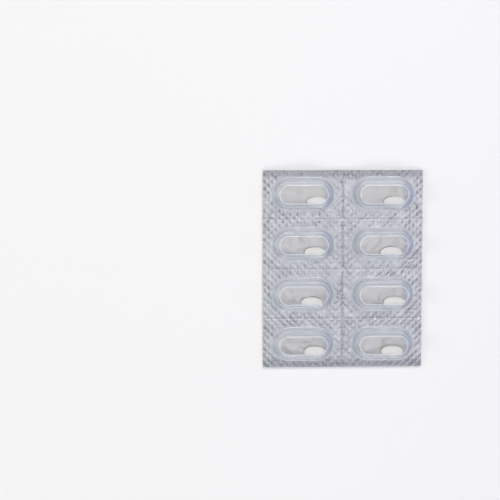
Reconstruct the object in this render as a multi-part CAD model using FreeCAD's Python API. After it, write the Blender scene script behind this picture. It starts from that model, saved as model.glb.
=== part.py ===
"""A push-through blister pack lying flat: clear formed film sealed to a foil lidding sheet.

The card holds tablets in two columns and four rows of long pockets. Lines of slits between
the pockets let one dose at a time be torn off. Millimetres throughout. X runs along the short
side of the card, Y along its long side, and Z is up. The origin is the middle of the
underside, so the lidding lies on Z = 0 and the pockets stand up from it.
"""
import FreeCAD, Part
import math
import os

from FreeCAD import Matrix, Vector

# The columns and rows of pockets, with the names of the columns from left to right
column_names = ["left", "right"]
rows = 4

# A pocket, measured over the rounded foot where it leaves the flat film
pocket_length = 31.0
pocket_width = 16.9
pocket_height = 7.2          # from the flat film's upper face to the pocket's flat top
wall_draft = 25.0            # degrees between the pocket's wall and the vertical
foot_radius = 1.0            # outer face, where the wall rises from the flat film
top_radius = 0.8             # outer face, round the flat top

# The flat sealed land between the pockets and round the edge
column_land = 7.1
row_land = 7.0
side_margin = 3.55
end_margin = 2.8

# The two sheets
lidding_thickness = 0.12
film_thickness = 0.25

# The lines of slits that part the doses
slit_length = 1.1
slit_tie = 0.5               # uncut length between two slits
slit_width = 0.15

# An oval tablet, domed on both faces
tablet_length = 10.2
tablet_width = 5.2
tablet_band = 1.3            # height of the upright band round the edge
tablet_dome = 1.0            # rise of each domed face above the band
tablet_seat_gap = 0.03       # air between the lower dome and the lidding

# Where each tablet lies, row by row: the free length at the pocket's right-hand end and the
# free width at its front wall, both at the top of the tablet's band
tablet_gaps = [
    [(1.9, 0.12), (3.2, 0.12)],
    [(2.8, 0.08), (4.6, 0.08)],
    [(4.4, 0.06), (3.0, 0.10)],
    [(2.8, 0.35), (3.9, 0.35)],
]

columns = len(column_names)
column_pitch = pocket_length + column_land
row_pitch = pocket_width + row_land
card_x = columns * pocket_length + (columns - 1) * column_land + 2 * side_margin
card_y = rows * pocket_width + (rows - 1) * row_land + 2 * end_margin

film_floor = lidding_thickness
film_face = film_floor + film_thickness
pocket_top = film_face + pocket_height

# A pocket is a straight run with a half-turn at each end, both about its spine. An arc that
# rounds a corner between the level and the wall uses up this length for each unit of radius.
draft = math.radians(wall_draft)
corner_tangent = math.tan((math.pi / 2 - draft) / 2)
straight_half = (pocket_length - pocket_width) / 2
foot_reach = pocket_width / 2
wall_reach = foot_reach - foot_radius * corner_tangent
top_reach = wall_reach - pocket_height * math.tan(draft)

UP = Vector(0, 0, 1)


def column_x(column):
    """X of the middle of a column, counted from the left."""
    return (column - (columns - 1) / 2) * column_pitch


def row_y(row):
    """Y of the middle of a row, counted from the far end."""
    return ((rows - 1) / 2 - row) * row_pitch


def cavity_reach(height):
    """Reach of the pocket's inner wall from its spine, at a height above the origin."""
    outer_reach = wall_reach - (height - film_face) * math.tan(draft)
    return outer_reach - film_thickness / math.cos(draft)


def wall_profile(inset):
    """Edges of one face of the formed wall, from the foot up to the middle of the flat top.

    The face lies inset below the outer one, square to it. Y is the reach from the spine.
    """
    outward = Vector(0, math.cos(draft), math.sin(draft))
    halfway = (outward + UP).normalize()
    foot = foot_radius + inset
    top = top_radius - inset
    foot_centre = Vector(0, foot_reach, film_face + foot_radius)
    top_centre = Vector(0, top_reach - top_radius * corner_tangent, pocket_top - top_radius)

    foot_end = foot_centre - outward * foot
    top_start = top_centre + outward * top
    top_end = top_centre + UP * top
    foot_arc = Part.Arc(foot_centre - UP * foot, foot_centre - halfway * foot, foot_end)
    top_arc = Part.Arc(top_start, top_centre + halfway * top, top_end)
    return [
        foot_arc.toShape(),
        Part.LineSegment(foot_end, top_start).toShape(),
        top_arc.toShape(),
        Part.LineSegment(top_end, Vector(0, 0, top_end.z)).toShape(),
    ]


def pocket_shell():
    """The formed wall and flat top of one pocket, centred on the Z axis."""
    outer = wall_profile(0)
    inner = wall_profile(film_thickness)
    foot_edge = Part.LineSegment(outer[0].Vertexes[0].Point, inner[0].Vertexes[0].Point)
    spine_edge = Part.LineSegment(outer[-1].Vertexes[-1].Point, inner[-1].Vertexes[-1].Point)
    edges = Part.sortEdges([*outer, *inner, foot_edge.toShape(), spine_edge.toShape()])[0]
    section = Part.Face(Part.Wire(edges))

    end_cap = section.revolve(Vector(0, 0, 0), UP, -180)
    end_cap.translate(Vector(straight_half, 0, 0))
    side_wall = section.extrude(Vector(2 * straight_half, 0, 0))
    side_wall.translate(Vector(-straight_half, 0, 0))
    pieces = [end_cap, side_wall]
    for piece in list(pieces):
        opposite = piece.copy()
        opposite.rotate(Vector(0, 0, 0), UP, 180)
        pieces.append(opposite)
    return pieces[0].fuse(pieces[1:]).removeSplitter()


def pocket_outline(x, y):
    """The foot of a pocket as a closed wire on Z = 0."""
    right = Vector(x + straight_half, y, 0)
    left = Vector(x - straight_half, y, 0)
    side = Vector(0, foot_reach, 0)
    end = Vector(foot_reach, 0, 0)
    return Part.Wire([
        Part.LineSegment(left + side, right + side).toShape(),
        Part.Arc(right + side, right + end, right - side).toShape(),
        Part.LineSegment(right - side, left - side).toShape(),
        Part.Arc(left - side, left - end, left + side).toShape(),
    ])


def rectangle(x, y, size_x, size_y):
    """A rectangle about a centre, as a closed wire on Z = 0."""
    corner = Vector(x - size_x / 2, y - size_y / 2, 0)
    right = Vector(size_x, 0, 0)
    far = Vector(0, size_y, 0)
    points = [corner, corner + right, corner + right + far, corner + far, corner]
    return Part.makePolygon(points)


def slit_centres(start, end):
    """Centres of the slits along one stretch, with a tie left at both of its ends."""
    pitch = slit_length + slit_tie
    count = int((end - start - slit_tie) / pitch)
    first = (start + end) / 2 - (count - 1) / 2 * pitch
    return [first + index * pitch for index in range(count)]


def slit_outlines():
    """Every slit of the card. The lines of slits lie midway between the pockets."""
    line_x = [(column_x(column) + column_x(column + 1)) / 2 for column in range(columns - 1)]
    line_y = [(row_y(row) + row_y(row + 1)) / 2 for row in range(rows - 1)]
    stops_x = [-card_x / 2, *line_x, card_x / 2]
    stops_y = [card_y / 2, *line_y, -card_y / 2]
    outlines = []
    for left, right in zip(stops_x, stops_x[1:]):
        for x in slit_centres(left, right):
            outlines += [rectangle(x, y, slit_length, slit_width) for y in line_y]
    for far, near in zip(stops_y, stops_y[1:]):
        for y in slit_centres(near, far):
            outlines += [rectangle(x, y, slit_width, slit_length) for x in line_x]
    return outlines


def sheet(floor, thickness, openings):
    """A flat sheet of the card's outline with every slit and the given openings cut in it."""
    outlines = [rectangle(0, 0, card_x, card_y), *slit_outlines(), *openings]
    face = Part.makeFace(outlines, "Part::FaceMakerBullseye")
    flat = face.extrude(UP * thickness)
    flat.translate(UP * floor)
    return flat


def make_lidding():
    """The foil and paper sheet that closes the pockets from below."""
    return sheet(0, lidding_thickness, [])


def make_film():
    """The clear film: a flat web with the pockets drawn up from it, all one piece."""
    places = [(column_x(column), row_y(row)) for row in range(rows) for column in range(columns)]
    web = sheet(film_floor, film_thickness, [pocket_outline(x, y) for x, y in places])
    pocket = pocket_shell()
    pockets = []
    for x, y in places:
        formed = pocket.copy()
        formed.translate(Vector(x, y, 0))
        pockets.append(formed)
    return web.fuse(pockets).removeSplitter()


def make_tablet():
    """An oval tablet centred on the origin: a round one drawn out along X."""
    reach = tablet_width / 2
    band_half = tablet_band / 2
    peak = band_half + tablet_dome
    sphere_radius = (reach ** 2 + tablet_dome ** 2) / (2 * tablet_dome)
    half_angle = math.asin(reach / sphere_radius) / 2
    middle_reach = sphere_radius * math.sin(half_angle)
    middle_height = peak - sphere_radius * (1 - math.cos(half_angle))

    def point(y, z):
        return Vector(0, y, z)

    profile = Part.Wire([
        Part.LineSegment(point(0, -peak), point(0, peak)).toShape(),
        Part.Arc(point(0, peak), point(middle_reach, middle_height), point(reach, band_half)).toShape(),
        Part.LineSegment(point(reach, band_half), point(reach, -band_half)).toShape(),
        Part.Arc(point(reach, -band_half), point(middle_reach, -middle_height), point(0, -peak)).toShape(),
    ])
    round_tablet = Part.Face(profile).revolve(Vector(0, 0, 0), UP, 360)
    stretch = Matrix()
    stretch.scale(tablet_length / tablet_width, 1, 1)
    return round_tablet.transformGeometry(stretch)


def place_tablet(tablet, row, column):
    """A copy of the tablet at rest on the lidding, near the right-hand end and front wall."""
    end_gap, wall_gap = tablet_gaps[row][column]
    middle = lidding_thickness + tablet_seat_gap + tablet_dome + tablet_band / 2
    reach = cavity_reach(middle + tablet_band / 2)
    x = column_x(column) + straight_half + reach - end_gap - tablet_length / 2
    y = row_y(row) - reach + wall_gap + tablet_width / 2
    placed = tablet.copy()
    placed.translate(Vector(x, y, middle))
    return placed


def main():
    nodes = {"foil_lidding": make_lidding(), "clear_film": make_film()}
    tablet = make_tablet()
    for row in range(rows):
        for column, name in enumerate(column_names):
            nodes[f"tablet_row{row + 1}_{name}"] = place_tablet(tablet, row, column)

    os.makedirs("parts", exist_ok=True)
    for node, shape in nodes.items():
        shape.exportStep(f"parts/{node}.step")
        print(node, "valid" if shape.isValid() else "NOT VALID", len(shape.Solids), "solid",
              f"{shape.Volume:.1f} mm3")


main()
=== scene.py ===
"""Dresses the blister pack: embossed foil, clear formed film and pressed tablets."""
import math

import bmesh
import bpy
from bpy.props import FloatProperty, FloatVectorProperty, IntProperty, PointerProperty
from mathutils import Euler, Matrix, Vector, noise


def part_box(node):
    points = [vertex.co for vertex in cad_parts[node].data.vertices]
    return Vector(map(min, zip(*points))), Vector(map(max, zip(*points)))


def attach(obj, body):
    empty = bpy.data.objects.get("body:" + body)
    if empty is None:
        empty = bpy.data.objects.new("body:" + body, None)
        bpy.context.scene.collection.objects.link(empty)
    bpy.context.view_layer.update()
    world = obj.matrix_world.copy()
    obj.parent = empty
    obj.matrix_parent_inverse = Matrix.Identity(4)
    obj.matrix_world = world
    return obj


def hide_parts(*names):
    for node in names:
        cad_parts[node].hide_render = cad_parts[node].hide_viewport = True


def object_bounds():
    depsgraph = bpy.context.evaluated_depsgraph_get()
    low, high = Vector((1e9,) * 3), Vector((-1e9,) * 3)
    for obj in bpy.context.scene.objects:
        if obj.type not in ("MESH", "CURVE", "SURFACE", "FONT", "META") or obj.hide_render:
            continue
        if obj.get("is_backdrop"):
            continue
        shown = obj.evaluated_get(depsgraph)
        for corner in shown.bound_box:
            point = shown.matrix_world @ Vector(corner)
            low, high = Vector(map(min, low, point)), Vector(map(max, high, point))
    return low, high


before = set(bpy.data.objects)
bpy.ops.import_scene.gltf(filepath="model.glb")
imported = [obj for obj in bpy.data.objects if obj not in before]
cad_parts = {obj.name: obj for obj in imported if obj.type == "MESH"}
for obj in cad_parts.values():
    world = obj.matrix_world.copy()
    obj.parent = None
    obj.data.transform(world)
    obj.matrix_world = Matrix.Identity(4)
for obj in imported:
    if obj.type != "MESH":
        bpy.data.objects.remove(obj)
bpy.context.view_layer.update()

bl_info = {
    "name": "Blister Pack",
    "version": (1, 0, 0),
    "blender": (4, 5, 0),
    "location": "View3D > Sidebar > Pack",
    "description": "Finishes a push-through blister pack and lights it for a picture",
    "category": "Object",
}

MM = 0.001
CARD_LOW, CARD_HIGH = (Vector(corner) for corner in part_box("foil_lidding"))
FILM_FLOOR = CARD_HIGH.z
TABLETS = [[Vector(corner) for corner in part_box(name)]
           for name in sorted(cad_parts) if name.startswith("tablet")]


def linear(hex_colour):
    """The linear values of an sRGB hex colour."""
    channels = [int(hex_colour[i:i + 2], 16) / 255 for i in (1, 3, 5)]
    return tuple(c / 12.92 if c <= 0.04045 else ((c + 0.055) / 1.055) ** 2.4 for c in channels)


def smoothstep(low, high, value):
    """0 below low, 1 above high, and an even ease between them."""
    share = min(max((value - low) / (high - low), 0), 1)
    return share * share * (3 - 2 * share)


class PackSizes(bpy.types.PropertyGroup):
    """Real sizes of the card that the finish has to follow."""
    column_pitch: FloatProperty(
        name="Column Pitch", description="Middle to middle of two pockets across the card",
        default=38.1 * MM, unit="LENGTH", precision=5)
    row_pitch: FloatProperty(
        name="Row Pitch", description="Middle to middle of two pockets along the card",
        default=23.9 * MM, unit="LENGTH", precision=5)
    columns: IntProperty(name="Columns", description="Pockets across the card", default=2)
    rows: IntProperty(name="Rows", description="Pockets along the card", default=4)
    pocket_length: FloatProperty(
        name="Pocket Length", description="Length of a pocket over its rounded foot",
        default=31.0 * MM, unit="LENGTH", precision=5)
    pocket_width: FloatProperty(
        name="Pocket Width", description="Width of a pocket over its rounded foot",
        default=16.9 * MM, unit="LENGTH", precision=5)
    pocket_height: FloatProperty(
        name="Pocket Height", description="From the flat film's upper face to a pocket's flat top",
        default=7.2 * MM, unit="LENGTH", precision=5)
    draw_bands: IntProperty(
        name="Draw Bands", description="Soft cloudy bands round a pocket's wall, left by drawing it",
        default=2)
    film_thickness: FloatProperty(
        name="Film Thickness", description="Gauge of the clear film",
        default=0.25 * MM, unit="LENGTH", precision=6)
    slit_length: FloatProperty(
        name="Slit Length", description="One cut of the tear lines",
        default=1.1 * MM, unit="LENGTH", precision=5)
    slit_tie: FloatProperty(
        name="Slit Tie", description="Uncut length between two cuts",
        default=0.5 * MM, unit="LENGTH", precision=5)


class FoilSizes(bpy.types.PropertyGroup):
    """The relief pressed into the lidding by the sealing roller."""
    grid_step: FloatProperty(
        name="Grid Step", description="Spacing of the mesh that carries the relief",
        default=0.4 * MM, unit="LENGTH", precision=6)
    thickness: FloatProperty(
        name="Foil Thickness", description="Thickness of the pressed sheet",
        default=0.05 * MM, unit="LENGTH", precision=6)
    knurl_pitch: FloatProperty(
        name="Knurl Pitch", description="Spacing of the roller's diagonal grooves",
        default=2.46 * MM, unit="LENGTH", precision=5)
    knurl_depth: FloatProperty(
        name="Knurl Depth", description="Height of the diamonds pressed into the seal",
        default=0.19 * MM, unit="LENGTH", precision=6)
    wrinkle_depth: FloatProperty(
        name="Wrinkle Depth", description="Height of the uneven shrinkage wrinkles",
        default=0.10 * MM, unit="LENGTH", precision=6)
    seal_start: FloatProperty(
        name="Seal Start", description="How far inside a pocket's foot the seal begins",
        default=0.6 * MM, unit="LENGTH", precision=5)
    seal_edge: FloatProperty(
        name="Seal Edge", description="Width over which the knurl fades out at a pocket",
        default=0.5 * MM, unit="LENGTH", precision=5)
    groove_width: FloatProperty(
        name="Groove Width", description="Width of the groove that the cutting rule leaves",
        default=1.1 * MM, unit="LENGTH", precision=5)
    groove_depth: FloatProperty(
        name="Groove Depth", description="Depth of the groove that the cutting rule leaves",
        default=0.12 * MM, unit="LENGTH", precision=6)
    crease_width: FloatProperty(
        name="Crease Width", description="Width of a sharp crease across the seal",
        default=0.9 * MM, unit="LENGTH", precision=5)
    crease_depth: FloatProperty(
        name="Crease Depth", description="Depth of a sharp crease across the seal",
        default=0.17 * MM, unit="LENGTH", precision=6)
    dent_depth: FloatProperty(
        name="Dent Depth", description="How far the foil gives way under a tablet",
        default=0.15 * MM, unit="LENGTH", precision=6)
    dent_reach: FloatProperty(
        name="Dent Reach", description="How far the dent runs out beyond the tablet",
        default=6.0 * MM, unit="LENGTH", precision=5)
    cut_gap: FloatProperty(
        name="Cut Gap", description="Width that a cut of the tear lines leaves open in the foil",
        default=0.04 * MM, unit="LENGTH", precision=6)
    air_gap: FloatProperty(
        name="Air Gap", description="Room kept between the foil's highest peak and the film",
        default=0.003 * MM, unit="LENGTH", precision=6)


class FinishColours(bpy.types.PropertyGroup):
    """Colours of the pieces."""
    foil: FloatVectorProperty(
        name="Sealed Foil", description="Foil where the film is sealed to it",
        subtype="COLOR", size=3, default=linear("#DCDCDE"))
    foil_shade: FloatVectorProperty(
        name="Foil Shade", description="Sealed foil where its lacquer has dulled",
        subtype="COLOR", size=3, default=linear("#C4C4C8"))
    # Painted shade: darker foil along the card's two ends, standing in for the shade where the ends
    # bend away from the light
    painted_end_shade: FloatVectorProperty(
        name="Foil End", description="Sealed foil along the card's two ends, rubbed dull",
        subtype="COLOR", size=3, default=linear("#B2B3B7"))
    foil_open: FloatVectorProperty(
        name="Open Foil", description="Smooth foil in the floor of a pocket",
        subtype="COLOR", size=3, default=linear("#D2D0CE"))
    back: FloatVectorProperty(
        name="Paper Back", description="Lacquered paper on the underside",
        subtype="COLOR", size=3, default=linear("#E9E9EA"))
    film: FloatVectorProperty(
        name="Film", description="What clear film passes, face on",
        subtype="COLOR", size=3, default=linear("#FBFCFE"))
    film_edge: FloatVectorProperty(
        name="Film Edge", description="What clear film passes, seen along its wall",
        subtype="COLOR", size=3, default=linear("#F3F6FA"))
    haze: FloatVectorProperty(
        name="Film Haze", description="What the film's faint cloudiness scatters",
        subtype="COLOR", size=3, default=linear("#F0F5FA"))
    tablet: FloatVectorProperty(
        name="Tablet", description="Pressed white powder",
        subtype="COLOR", size=3, default=linear("#FBF7EC"))


class StageSettings(bpy.types.PropertyGroup):
    """Camera, lamps and floor."""
    camera_place: FloatVectorProperty(
        name="Camera Place", description="Where the camera stands, from the card's middle",
        subtype="TRANSLATION", size=3, default=(-0.0748, 0.0672, 0.6621))
    camera_turn: FloatVectorProperty(
        name="Camera Turn", description="Turn of the camera from straight down",
        subtype="EULER", size=3, default=tuple(math.radians(a) for a in (-4.988, -2.647, -0.053)))
    lens: FloatProperty(
        name="Lens", description="Focal length on a 36 mm wide sensor, in millimetres",
        default=100.8)
    key_level: FloatProperty(
        name="Key Level", description="Brightness of the softbox beyond the card", default=34.0)
    side_level: FloatProperty(
        name="Side Level", description="Brightness of the softbox on the left", default=22.0)
    fill_level: FloatProperty(
        name="Fill Level", description="Brightness of the low softbox in front", default=5.5)
    rim_level: FloatProperty(
        name="Rim Level", description="Brightness of the cool softbox on the right", default=12.0)
    rim_colour: FloatVectorProperty(
        name="Rim Colour", description="Colour of the cool softbox on the right",
        subtype="COLOR", size=3, default=linear("#6F86F0"))
    top_level: FloatProperty(
        name="Top Level", description="Brightness of the broad softbox overhead", default=0.95)
    lamp_colour: FloatVectorProperty(
        name="Lamp Colour", description="Colour of the other softboxes", subtype="COLOR", size=3,
        default=linear("#FFFBF4"))
    world_level: FloatProperty(
        name="World Level", description="Strength of the even light from all round", default=0.34)
    world_colour: FloatVectorProperty(
        name="World Colour", description="Colour of the even light from all round",
        subtype="COLOR", size=3, default=linear("#F4F5FF"))
    floor_gap: FloatProperty(
        name="Floor Gap", description="Room under the card, which doesn't lie quite flat",
        default=0.9 * MM, unit="LENGTH", precision=5)
    floor_colour: FloatVectorProperty(
        name="Floor", description="The plain pale floor", subtype="COLOR", size=3,
        default=linear("#FAFBFA"))


# Softboxes: name, place and size in metres, and the settings that hold brightness and colour
SOFTBOXES = (
    ("key", (0.11, 0.62, 0.80), (0.35, 0.1), "key_level", "lamp_colour"),
    ("side", (-0.90, 0.0, 0.55), (0.08, 0.45), "side_level", "lamp_colour"),
    ("fill", (0.1, -0.75, 0.65), (0.8, 0.2), "fill_level", "lamp_colour"),
    ("rim", (0.90, 0.0, 0.50), (0.08, 0.45), "rim_level", "rim_colour"),
    ("top", (0.146, -0.01, 1.30), (0.95, 0.58), "top_level", "lamp_colour"),
)
# Half the side of the square floor, in metres
FLOOR_HALF_SIZE = 3.0

# The knurl's strength varies about a mean from patch to patch, each some millimetres across
KNURL_MEAN, KNURL_SPREAD = 0.9, 0.5
KNURL_PATCH = 6.0

# The wrinkles: millimetres across, then the falloff, frequency ratio and number of their
# octaves, and how much higher they stand in the open foil than in the sealed
WRINKLE_SPAN = 5.0
WRINKLE_OCTAVES = (1.0, 2.0, 3)
OPEN_WRINKLE_EXTRA = 0.4

# The span of a blotch, fibre or grain in each finish, and the height of its relief
FOIL_BLOTCH = 5 * MM
FOIL_GRAIN, FOIL_GRAIN_HEIGHT = 0.7 * MM, 0.03 * MM
PAPER_FIBRE, PAPER_FIBRE_HEIGHT = 0.4 * MM, 0.01 * MM
FILM_RIPPLE, FILM_PRESS_HEIGHT = 3.0 * MM, 0.12 * MM
POWDER_GRAIN, POWDER_GRAIN_HEIGHT = 0.25 * MM, 0.02 * MM

# The noise values between which the lacquer goes from dulled to bright
DULLED, BRIGHT = 0.35, 0.65
# Towards each end of the card the foil is painted darker, as painted shade for the ends bending
# away from the light: fully from so far beyond the end and not at all from so far inside it. A
# place counts as up to the ragged width nearer to the end.
END_SHADE_INSIDE, END_SHADE_BEYOND, END_SHADE_RAGGED = 1.0 * MM, 2.0 * MM, 8 * MM

# How rough each surface is
FOIL_OPEN_ROUGHNESS, FOIL_SEALED_ROUGHNESS = 0.30, 0.28
PAPER_ROUGHNESS = 0.45
FILM_ROUGHNESS, FILM_SEALED_ROUGHNESS = 0.12, 0.16
TABLET_ROUGHNESS = 0.6

# How upright the film's normal is where it leaves the level, and where the steep wall ends
BENT_FULLY, STILL_LEVEL = 0.93, 0.99
ON_WALL, OFF_WALL = 0.44, 0.60

# What a face of the film mirrors face on, and how sharply that rises towards grazing
MIRROR_FACE_ON, MIRROR_RISE = 0.045, 5.0
# Tolerance in telling the film's upper face by its height
FACE_TOLERANCE = 0.02 * MM

# Cloudiness of the drawn film seen face on and seen along it, and the slant at which it is full
CLOUD_FACE_ON, CLOUD_ALONG, CLOUD_SLANT = 0.03, 0.34, 0.6
# By how much the soft bands vary that cloudiness
CLOUD_BANDS = 0.22
# How white the bends are by the foot and by the flat top: partly the drawn film's whitening, partly
# a painted highlight ring along the bends
WHITE_FOOT, WHITE_TOP = 0.45, 0.68

# The angle from which an edge of the pressed sheet is left sharp
SHARP_ANGLE = math.radians(40)

# Sharp creases across the seal, as their two ends in millimetres from the card's middle
CREASES = (
    ((-13.5, 21.0), (2.0, 34.0)), ((-4.0, 26.5), (0.5, 24.0)), ((29.0, -1.5), (36.5, 9.0)),
    ((34.5, 33.0), (37.5, 26.0)), ((-36.5, 23.0), (-33.0, 27.5)), ((1.5, 31.5), (6.5, 25.5)),
    ((-36.0, -12.5), (-31.5, -17.0)), ((4.0, -20.5), (-3.5, -13.0)), ((30.5, -22.5), (35.0, -18.0)),
    ((-2.0, 4.5), (3.0, -3.0)), ((-8.5, 46.0), (-11.5, 43.5)), ((17.0, 45.5), (21.0, 43.0)),
)


def middles(count, pitch):
    """The middles of a row of evenly spaced things, about zero."""
    return [(index - (count - 1) / 2) * pitch for index in range(count)]


def tear_lines(pack):
    """X of the tear lines along the card, and Y of those across it."""
    return middles(pack.columns - 1, pack.column_pitch), middles(pack.rows - 1, pack.row_pitch)


def pocket_reach(x, y, pack):
    """Distance from the spine of the nearest pocket."""
    straight_half = (pack.pocket_length - pack.pocket_width) / 2
    from_x = min(abs(x - middle) for middle in middles(pack.columns, pack.column_pitch))
    from_y = min(abs(y - middle) for middle in middles(pack.rows, pack.row_pitch))
    return math.hypot(max(from_x - straight_half, 0), from_y)


def knurl(x, y, pitch):
    """Relief from 0 in the roller's diagonal grooves to 1 at the middle of each diamond."""
    first = abs(math.sin(math.pi * (x + y) / math.sqrt(2) / pitch))
    second = abs(math.sin(math.pi * (x - y) / math.sqrt(2) / pitch))
    return min(first, second)


def from_crease(place):
    """Distance in metres from a place in millimetres to the nearest crease."""
    nearest = math.inf
    for start, end in CREASES:
        start, end = Vector((*start, 0)), Vector((*end, 0))
        along = min(max((place - start).dot(end - start) / (end - start).length_squared, 0), 1)
        nearest = min(nearest, (place - start.lerp(end, along)).length)
    return nearest * MM


def from_tablet(x, y):
    """Distance from the edge of the nearest tablet, seen from above as an oval."""
    nearest = math.inf
    for low, high in TABLETS:
        half = (high - low) / 2
        offset = Vector((x, y, 0)) - (high + low) / 2
        radius = Vector((offset.x / half.x, offset.y / half.y)).length
        nearest = min(nearest, Vector((offset.x, offset.y)).length * (1 - 1 / max(radius, 1)))
    return nearest


def foil_relief(x, y, pack, foil):
    """Height of the foil about its mean level, and how far it is sealed, from 0 to 1."""
    place = Vector((x, y, 0)) / MM
    past_start = pocket_reach(x, y, pack) - pack.pocket_width / 2 + foil.seal_start
    sealed = smoothstep(0, foil.seal_edge, past_start)
    lines_x, lines_y = tear_lines(pack)
    from_line = min([abs(x - line) for line in lines_x] + [abs(y - line) for line in lines_y])
    groove = 1 - smoothstep(0, foil.groove_width / 2, from_line)
    patchy = (KNURL_MEAN + KNURL_SPREAD * noise.noise(place / KNURL_PATCH)) * (1 - groove)
    height = foil.knurl_depth * (knurl(x, y, foil.knurl_pitch) - 0.5) * patchy * sealed
    wrinkle = noise.fractal(place / WRINKLE_SPAN, *WRINKLE_OCTAVES)
    height += foil.wrinkle_depth * wrinkle * (1 + OPEN_WRINKLE_EXTRA * (1 - sealed))
    dent = 1 - smoothstep(0, foil.dent_reach, from_tablet(x, y))
    height -= foil.dent_depth * dent * (1 - sealed)
    crease = 1 - smoothstep(0, foil.crease_width / 2, from_crease(place))
    height -= foil.crease_depth * crease * sealed
    height -= foil.groove_depth * groove
    return height, sealed


def in_slit(place, stops, pack):
    """True where a place along a tear line falls in one of the cuts between the line's stops."""
    pitch = pack.slit_length + pack.slit_tie
    for start, end in zip(stops, stops[1:]):
        if start < place < end:
            count = int((end - start - pack.slit_tie) / pitch)
            offset = (place - (start + end) / 2) / pitch + count / 2
            return 0 < offset < count and abs(offset % 1 - 0.5) * pitch < pack.slit_length / 2
    return False


def cut_slits(bm, pack, foil, steps):
    """Draws the rows of verts beside each tear line in to its slits, and opens the slits."""
    size = CARD_HIGH - CARD_LOW
    lines_by_axis = tear_lines(pack)
    for axis, lines in enumerate(lines_by_axis):
        # The line has one row of verts on either side that is less than a step away
        step = size[axis] / steps[axis]
        for line in lines:
            for vert in bm.verts:
                offset = vert.co[axis] - line
                if abs(offset) < 0.99 * step:
                    vert.co[axis] = line + math.copysign(foil.cut_gap / 2, offset)
    open_faces = []
    for axis, lines in enumerate(lines_by_axis):
        other = 1 - axis
        stops = [CARD_LOW[other], *lines_by_axis[other], CARD_HIGH[other]]
        for face in bm.faces:
            middle = face.calc_center_median()
            on_line = any(abs(middle[axis] - line) < foil.cut_gap / 4 for line in lines)
            if on_line and in_slit(middle[other], stops, pack):
                open_faces.append(face)
    bmesh.ops.delete(bm, geom=list(set(open_faces)), context="FACES")


def new_piece(name, bm):
    """The finished mesh as an object of its own, shaded smooth."""
    mesh = bpy.data.meshes.new(name)
    bm.to_mesh(mesh)
    bm.free()
    mesh.shade_smooth()
    piece = bpy.data.objects.new(name, mesh)
    bpy.context.collection.objects.link(piece)
    return piece


def make_foil(pack, foil):
    """The lidding as one pressed sheet, with its relief and the cuts of the tear lines."""
    size = CARD_HIGH - CARD_LOW
    odd = [2 * round(size[axis] / foil.grid_step / 2) + 1 for axis in (0, 1)]
    bm = bmesh.new()
    bmesh.ops.create_grid(bm, x_segments=odd[0], y_segments=odd[1], size=0.5)
    bmesh.ops.scale(bm, vec=(size.x, size.y, 1), verts=bm.verts)
    cut_slits(bm, pack, foil, odd)

    sealed_layer = bm.verts.layers.float.new("sealed")
    for vert in bm.verts:
        vert.co.z, vert[sealed_layer] = foil_relief(vert.co.x, vert.co.y, pack, foil)
    peak = max(vert.co.z for vert in bm.verts)
    bmesh.ops.translate(bm, vec=(0, 0, FILM_FLOOR - foil.air_gap - peak), verts=bm.verts)
    piece = new_piece("pressed_foil", bm)
    wall = piece.modifiers.new("wall", "SOLIDIFY")
    wall.thickness = foil.thickness
    wall.offset = -1
    wall.material_offset = 1
    wall.material_offset_rim = 1
    return piece


def harden(piece):
    """Applies the modifiers, and stops the smooth shading at the sheet's cut edges."""
    finished = piece.evaluated_get(bpy.context.evaluated_depsgraph_get())
    mesh = bpy.data.meshes.new_from_object(finished)
    piece.modifiers.clear()
    piece.data = mesh
    mesh.set_sharp_from_angle(angle=SHARP_ANGLE)


def add(tree, kind, settings=None, inputs=None):
    """A node with its settings, each input given a value or linked from an output."""
    node = tree.nodes.new(kind)
    for name, value in (settings or {}).items():
        setattr(node, name, value)
    for name, value in (inputs or {}).items():
        if isinstance(value, bpy.types.NodeSocket):
            tree.links.new(value, node.inputs[name])
        else:
            node.inputs[name].default_value = value
    return node


def new_material(name):
    """An empty material, its node tree and the tree's output."""
    material = bpy.data.materials.new(name)
    material.use_nodes = True
    tree = material.node_tree
    tree.nodes.clear()
    return material, tree, add(tree, "ShaderNodeOutputMaterial")


def rgba(colour):
    """A colour property's values with full alpha, as a colour socket takes them."""
    return (*colour, 1)


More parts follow.
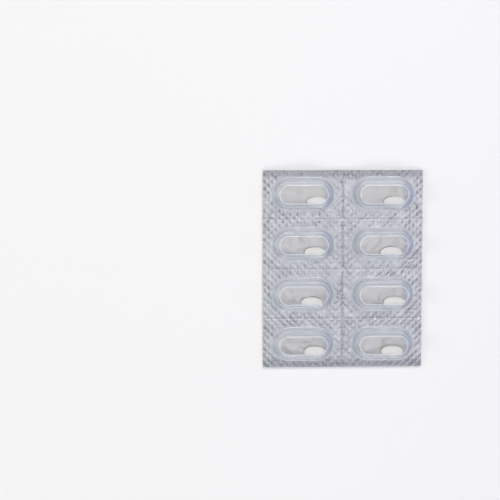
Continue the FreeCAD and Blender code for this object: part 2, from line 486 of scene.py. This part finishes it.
def foil_material(colours):
    """Hard aluminium foil under a heat-seal lacquer: satin, grey and unevenly bright."""
    material, tree, output = new_material("knurled_aluminium_foil")
    place = add(tree, "ShaderNodeTexCoord").outputs["Object"]
    sealed = add(tree, "ShaderNodeAttribute", {"attribute_name": "sealed"}).outputs["Fac"]
    blotches = add(tree, "ShaderNodeTexNoise", inputs={
        "Vector": place, "Scale": 1 / FOIL_BLOTCH, "Detail": 4.0, "Roughness": 0.6})
    patches = add(tree, "ShaderNodeMapRange", inputs={
        "Value": blotches.outputs["Fac"], "From Min": DULLED, "From Max": BRIGHT})
    sealed_colour = add(tree, "ShaderNodeMix", {"data_type": "RGBA"}, {
        0: patches.outputs[0], 6: rgba(colours.foil_shade), 7: rgba(colours.foil)})
    # Painted shade: the colour darkens towards the card's two ends, with a ragged edge from the
    # blotches
    along = add(tree, "ShaderNodeSeparateXYZ", inputs={0: place}).outputs["Y"]
    from_middle = add(tree, "ShaderNodeMath", {"operation": "ABSOLUTE"}, {0: along})
    uneven = add(tree, "ShaderNodeMath", {"operation": "MULTIPLY_ADD"}, {
        0: blotches.outputs["Fac"], 1: END_SHADE_RAGGED, 2: from_middle.outputs[0]})
    painted_shade = add(tree, "ShaderNodeMapRange", {"interpolation_type": "SMOOTHSTEP"}, {
        "Value": uneven.outputs[0],
        "From Min": CARD_HIGH.y - END_SHADE_INSIDE, "From Max": CARD_HIGH.y + END_SHADE_BEYOND})
    end_shade_colour = add(tree, "ShaderNodeMix", {"data_type": "RGBA"}, {
        0: painted_shade.outputs[0], 6: sealed_colour.outputs[2], 7: rgba(colours.painted_end_shade)})
    colour = add(tree, "ShaderNodeMix", {"data_type": "RGBA"}, {
        0: sealed, 6: rgba(colours.foil_open), 7: end_shade_colour.outputs[2]})
    grain = add(tree, "ShaderNodeTexNoise", inputs={
        "Vector": place, "Scale": 1 / FOIL_GRAIN, "Detail": 4.0, "Roughness": 0.6})
    bump = add(tree, "ShaderNodeBump", inputs={
        "Height": grain.outputs["Fac"], "Strength": 1.0, "Distance": FOIL_GRAIN_HEIGHT})
    roughness = add(tree, "ShaderNodeMapRange", inputs={
        "Value": sealed, "To Min": FOIL_OPEN_ROUGHNESS, "To Max": FOIL_SEALED_ROUGHNESS})
    shader = add(tree, "ShaderNodeBsdfPrincipled", inputs={
        "Base Color": colour.outputs[2], "Metallic": 1.0, "Roughness": roughness.outputs[0],
        "Normal": bump.outputs[0]})
    tree.links.new(shader.outputs[0], output.inputs["Surface"])
    return material


def paper_material(colours):
    """Lacquered paper bonded to the foil's back: pale, smooth and a little shiny."""
    material, tree, output = new_material("lacquered_paper_back")
    place = add(tree, "ShaderNodeTexCoord").outputs["Object"]
    fibre = add(tree, "ShaderNodeTexNoise", inputs={
        "Vector": place, "Scale": 1 / PAPER_FIBRE, "Detail": 5.0, "Roughness": 0.65})
    bump = add(tree, "ShaderNodeBump", inputs={
        "Height": fibre.outputs["Fac"], "Strength": 1.0, "Distance": PAPER_FIBRE_HEIGHT})
    shader = add(tree, "ShaderNodeBsdfPrincipled", inputs={
        "Base Color": rgba(colours.back), "Roughness": PAPER_ROUGHNESS,
        "Normal": bump.outputs[0]})
    tree.links.new(shader.outputs[0], output.inputs["Surface"])
    return material


def drawn_film(tree):
    """Two outputs: 1 wherever the film is drawn out of the level, and 1 only at its bends."""
    turn = add(tree, "ShaderNodeTexCoord").outputs["Normal"]
    upright = add(tree, "ShaderNodeSeparateXYZ", inputs={0: turn}).outputs["Z"]
    level = add(tree, "ShaderNodeMath", {"operation": "ABSOLUTE"}, {0: upright}).outputs[0]
    drawn = add(tree, "ShaderNodeMapRange", {"interpolation_type": "SMOOTHSTEP"}, {
        "Value": level, "From Min": BENT_FULLY, "From Max": STILL_LEVEL, "To Min": 1, "To Max": 0})
    off_wall = add(tree, "ShaderNodeMapRange", {"interpolation_type": "SMOOTHSTEP"}, {
        "Value": level, "From Min": ON_WALL, "From Max": OFF_WALL})
    bent = add(tree, "ShaderNodeMath", {"operation": "MULTIPLY"}, {
        0: off_wall.outputs[0], 1: drawn.outputs[0]})
    return drawn.outputs[0], bent.outputs[0]


def film_material(colours, pack, foil):
    """Clear rigid PVC sheet, thermoformed: each face mirrors a little, more along the walls."""
    material, tree, output = new_material("clear_rigid_pvc")
    place = add(tree, "ShaderNodeTexCoord").outputs["Object"]
    height = add(tree, "ShaderNodeSeparateXYZ", inputs={0: place}).outputs["Z"]
    facing = add(tree, "ShaderNodeLayerWeight", inputs={"Blend": 0.5}).outputs["Facing"]

    # A free face mirrors a little face on and fully at a grazing look. What lies below the web's
    # upper face, such as the bonded face and the cut edges, doesn't mirror.
    web_face = FILM_FLOOR + pack.film_thickness
    grazing = add(tree, "ShaderNodeMath", {"operation": "POWER"}, {0: facing, 1: MIRROR_RISE})
    mirror = add(tree, "ShaderNodeMapRange", inputs={
        "Value": grazing.outputs[0], "To Min": MIRROR_FACE_ON, "To Max": 1.0})
    free = add(tree, "ShaderNodeMath", {"operation": "GREATER_THAN"}, {
        0: height, 1: web_face - FACE_TOLERANCE})
    share = add(tree, "ShaderNodeMath", {"operation": "MULTIPLY"}, {
        0: mirror.outputs[0], 1: free.outputs[0]})
    tint = add(tree, "ShaderNodeMix", {"data_type": "RGBA"}, {
        0: facing, 6: rgba(colours.film), 7: rgba(colours.film_edge)})

    # The roller's diamonds also show in the upper face of the sealed film
    sealed = add(tree, "ShaderNodeMath", {"operation": "LESS_THAN"}, {
        0: height, 1: web_face + FACE_TOLERANCE})
    turned = add(tree, "ShaderNodeMapping", inputs={
        "Vector": place, "Rotation": (0, 0, math.pi / 4),
        "Scale": (math.pi / foil.knurl_pitch, math.pi / foil.knurl_pitch, 1)})
    diagonals = add(tree, "ShaderNodeSeparateXYZ", inputs={0: turned.outputs[0]})
    waves = []
    for axis in ("X", "Y"):
        sine = add(tree, "ShaderNodeMath", {"operation": "SINE"}, {0: diagonals.outputs[axis]})
        waves.append(add(tree, "ShaderNodeMath", {"operation": "ABSOLUTE"}, {0: sine.outputs[0]}))
    diamond = add(tree, "ShaderNodeMath", {"operation": "MINIMUM"}, {
        0: waves[0].outputs[0], 1: waves[1].outputs[0]})
    ripple = add(tree, "ShaderNodeTexNoise", inputs={
        "Vector": place, "Scale": 1 / FILM_RIPPLE, "Detail": 3.0})
    pressed = add(tree, "ShaderNodeMath", {"operation": "ADD"}, {
        0: diamond.outputs[0], 1: ripple.outputs["Fac"]})
    relief = add(tree, "ShaderNodeMath", {"operation": "MULTIPLY"}, {
        0: pressed.outputs[0], 1: sealed.outputs[0]})
    bump = add(tree, "ShaderNodeBump", inputs={
        "Height": relief.outputs[0], "Strength": 1.0, "Distance": FILM_PRESS_HEIGHT})
    roughness = add(tree, "ShaderNodeMapRange", inputs={
        "Value": sealed.outputs[0], "To Min": FILM_ROUGHNESS, "To Max": FILM_SEALED_ROUGHNESS})

    # Drawing the pockets leaves their walls faintly cloudy, which shows where one looks along
    # them. Where the film bends out of the web and into the flat top it is whitened, partly as the
    # drawn film's whitening and partly as a painted highlight ring, brighter towards the top.
    drawn, bent = drawn_film(tree)
    whitening_and_highlight = add(tree, "ShaderNodeMapRange", inputs={
        "Value": height, "From Min": web_face, "From Max": web_face + pack.pocket_height,
        "To Min": WHITE_FOOT, "To Max": WHITE_TOP})
    along_wall = add(tree, "ShaderNodeMapRange", {"interpolation_type": "SMOOTHSTEP"}, {
        "Value": facing, "From Max": CLOUD_SLANT, "To Min": CLOUD_FACE_ON,
        "To Max": CLOUD_ALONG})
    turns = add(tree, "ShaderNodeMath", {"operation": "MULTIPLY"}, {
        0: height, 1: 2 * math.pi * pack.draw_bands / pack.pocket_height})
    bands = add(tree, "ShaderNodeMath", {"operation": "SINE"}, {0: turns.outputs[0]})
    banded = add(tree, "ShaderNodeMath", {"operation": "MULTIPLY_ADD"}, {
        0: bands.outputs[0], 1: CLOUD_BANDS, 2: 1.0})
    wall_cloud = add(tree, "ShaderNodeMath", {"operation": "MULTIPLY"}, {
        0: along_wall.outputs[0], 1: banded.outputs[0]})
    cloud = add(tree, "ShaderNodeMath", {"operation": "MULTIPLY"}, {
        0: drawn, 1: wall_cloud.outputs[0]})
    bends = add(tree, "ShaderNodeMath", {"operation": "MULTIPLY"}, {
        0: bent, 1: whitening_and_highlight.outputs[0]})
    cloudy = add(tree, "ShaderNodeMath", {"operation": "MAXIMUM"}, {
        0: cloud.outputs[0], 1: bends.outputs[0]})
    passed = add(tree, "ShaderNodeBsdfTransparent", inputs={"Color": tint.outputs[2]})
    haze = add(tree, "ShaderNodeBsdfDiffuse", inputs={"Color": rgba(colours.haze)})
    body = add(tree, "ShaderNodeMixShader", inputs={
        0: cloudy.outputs[0], 1: passed.outputs[0], 2: haze.outputs[0]})
    gloss = add(tree, "ShaderNodeBsdfGlossy", inputs={
        "Roughness": roughness.outputs[0], "Normal": bump.outputs[0]})
    both = add(tree, "ShaderNodeMixShader", inputs={
        0: share.outputs[0], 1: body.outputs[0], 2: gloss.outputs[0]})
    tree.links.new(both.outputs[0], output.inputs["Surface"])
    return material


def tablet_material(colours):
    """Pressed white powder: matt and faintly grained."""
    material, tree, output = new_material("pressed_white_powder")
    place = add(tree, "ShaderNodeTexCoord").outputs["Object"]
    grain = add(tree, "ShaderNodeTexNoise", inputs={
        "Vector": place, "Scale": 1 / POWDER_GRAIN, "Detail": 4.0, "Roughness": 0.7})
    bump = add(tree, "ShaderNodeBump", inputs={
        "Height": grain.outputs["Fac"], "Strength": 1.0, "Distance": POWDER_GRAIN_HEIGHT})
    shader = add(tree, "ShaderNodeBsdfPrincipled", inputs={
        "Base Color": rgba(colours.tablet), "Roughness": TABLET_ROUGHNESS,
        "Normal": bump.outputs[0]})
    tree.links.new(shader.outputs[0], output.inputs["Surface"])
    return material


def floor_material(stage):
    """Matt white paper under the card."""
    material, tree, output = new_material("white_backdrop_paper")
    shader = add(tree, "ShaderNodeBsdfDiffuse", inputs={"Color": rgba(stage.floor_colour)})
    tree.links.new(shader.outputs[0], output.inputs["Surface"])
    return material


def finish_node(name, material):
    """Gives a solid of the frame its material in every slot."""
    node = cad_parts[name]
    for slot in node.material_slots:
        slot.material = material
    if not node.material_slots:
        node.data.materials.append(material)


class PACK_OT_foil(bpy.types.Operator):
    """Press the foil lidding and give it its foil face and paper back"""
    bl_idname = "pack.foil"
    bl_label = "Foil Lidding"

    def execute(self, context):
        scene = context.scene
        piece = make_foil(scene.pack_sizes, scene.foil_sizes)
        piece.data.materials.append(foil_material(scene.finish_colours))
        piece.data.materials.append(paper_material(scene.finish_colours))
        harden(piece)
        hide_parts("foil_lidding")
        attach(piece, "root")
        return {"FINISHED"}


class PACK_OT_film(bpy.types.Operator):
    """Make the formed film clear and glossy"""
    bl_idname = "pack.film"
    bl_label = "Clear Film"

    def execute(self, context):
        scene = context.scene
        finish_node("clear_film", film_material(
            scene.finish_colours, scene.pack_sizes, scene.foil_sizes))
        return {"FINISHED"}


class PACK_OT_tablets(bpy.types.Operator):
    """Give every tablet its pressed powder finish"""
    bl_idname = "pack.tablets"
    bl_label = "Tablets"

    def execute(self, context):
        material = tablet_material(context.scene.finish_colours)
        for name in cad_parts:
            if name.startswith("tablet"):
                finish_node(name, material)
        return {"FINISHED"}


def softbox(name, place, size, brightness, colour):
    """A rectangular lamp of an even brightness that faces the middle of the card."""
    lamp = bpy.data.lights.new(name, "AREA")
    lamp.shape = "RECTANGLE"
    lamp.size, lamp.size_y = size
    lamp.energy = brightness * math.pi * size[0] * size[1]
    lamp.color = colour
    holder = bpy.data.objects.new(name, lamp)
    holder.location = place
    holder.rotation_euler = (-Vector(place)).to_track_quat("-Z", "Y").to_euler()
    bpy.context.collection.objects.link(holder)


class PACK_OT_stage(bpy.types.Operator):
    """Set the floor, the lamps, the even light from all round and the camera"""
    bl_idname = "pack.stage"
    bl_label = "Stage"

    def execute(self, context):
        scene = context.scene
        stage = scene.stage_settings
        bm = bmesh.new()
        bmesh.ops.create_grid(bm, x_segments=1, y_segments=1, size=FLOOR_HALF_SIZE)
        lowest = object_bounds()[0][2]
        bmesh.ops.translate(bm, vec=(0, 0, lowest - stage.floor_gap), verts=bm.verts)
        floor = new_piece("floor", bm)
        floor.data.materials.append(floor_material(stage))
        floor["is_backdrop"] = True

        for name, place, size, level, colour in SOFTBOXES:
            softbox(name, place, size, getattr(stage, level), getattr(stage, colour))

        world = bpy.data.worlds.new("even_light")
        scene.world = world
        world.use_nodes = True
        sky = world.node_tree.nodes["Background"]
        sky.inputs["Strength"].default_value = stage.world_level
        sky.inputs["Color"].default_value = rgba(stage.world_colour)

        camera = bpy.data.cameras.new("camera")
        camera.lens = stage.lens
        camera.sensor_width = 36
        camera.clip_start = 0.01
        holder = bpy.data.objects.new("camera", camera)
        holder.location = stage.camera_place
        holder.rotation_euler = Euler(stage.camera_turn)
        context.collection.objects.link(holder)
        scene.camera = holder
        scene.view_settings.view_transform = "Standard"
        return {"FINISHED"}


class PACK_PT_panel(bpy.types.Panel):
    """The pieces of the pack, in the order in which they are made"""
    bl_idname = "PACK_PT_panel"
    bl_label = "Blister Pack"
    bl_space_type = "VIEW_3D"
    bl_region_type = "UI"
    bl_category = "Pack"

    def draw(self, context):
        for operator in OPERATORS:
            self.layout.operator(operator.bl_idname)
        for group in GROUPS:
            settings = getattr(context.scene, group)
            for name in settings.bl_rna.properties.keys():
                if name not in ("rna_type", "name"):
                    self.layout.prop(settings, name)


GROUPS = {
    "pack_sizes": PackSizes,
    "foil_sizes": FoilSizes,
    "finish_colours": FinishColours,
    "stage_settings": StageSettings,
}
OPERATORS = (PACK_OT_foil, PACK_OT_film, PACK_OT_tablets, PACK_OT_stage)


def register():
    """Makes the settings, the operators and the panel known."""
    for name, group in GROUPS.items():
        bpy.utils.register_class(group)
        setattr(bpy.types.Scene, name, PointerProperty(type=group))
    for cls in (*OPERATORS, PACK_PT_panel):
        bpy.utils.register_class(cls)


def unregister():
    """Takes the panel, the operators and the settings away again."""
    for cls in (PACK_PT_panel, *reversed(OPERATORS)):
        bpy.utils.unregister_class(cls)
    for name, group in GROUPS.items():
        delattr(bpy.types.Scene, name)
        bpy.utils.unregister_class(group)


def main():
    """Dresses the pack and lights it."""
    register()
    bpy.ops.pack.foil()
    bpy.ops.pack.film()
    bpy.ops.pack.tablets()
    bpy.ops.pack.stage()


if __name__ == "__main__":
    main()
